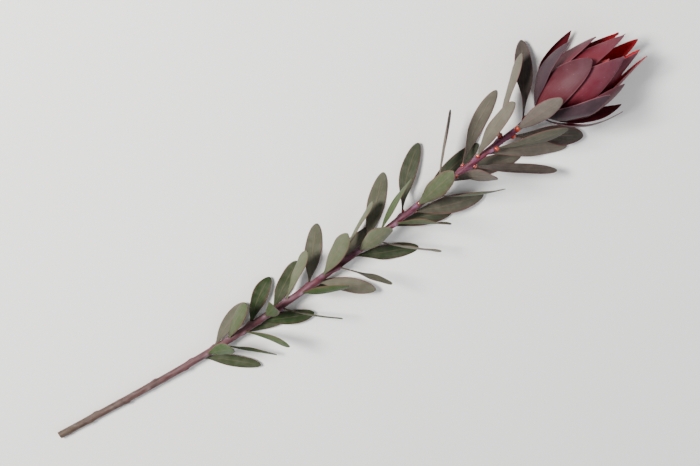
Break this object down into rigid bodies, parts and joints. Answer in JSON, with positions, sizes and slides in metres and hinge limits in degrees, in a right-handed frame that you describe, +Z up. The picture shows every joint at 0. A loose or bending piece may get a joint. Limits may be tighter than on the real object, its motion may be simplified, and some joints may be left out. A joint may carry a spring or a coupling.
{
  "type": "leucadendron stem",
  "caption": "Cut leucadendron stem lying down: woody stem with narrow leathery leaves and a red cup of broad bracts round a young cone.",
  "frame": {"origin": "on the surface the stem lies on, under the middle of its bounding box", "axes": "+X along the stem, from the cut end to the head, and +Z up"},
  "size_m": [0.6988, 0.128, 0.0902],
  "materials": {
    "leaf_and_stem": "matte grey-green leaves on a crimson to lilac stem",
    "burgundy_bract": "matte burgundy with a pale grey bloom, bright red inside",
    "red_bract": "satin crimson",
    "cone_scale": "satin yellow-green scales"
  },
  "bodies": {
    "root": {"leafy_stem": "leaf_and_stem", "outer_bracts": "burgundy_bract", "inner_bracts": "red_bract", "cone": "cone_scale"}
  },
  "joints": []
}
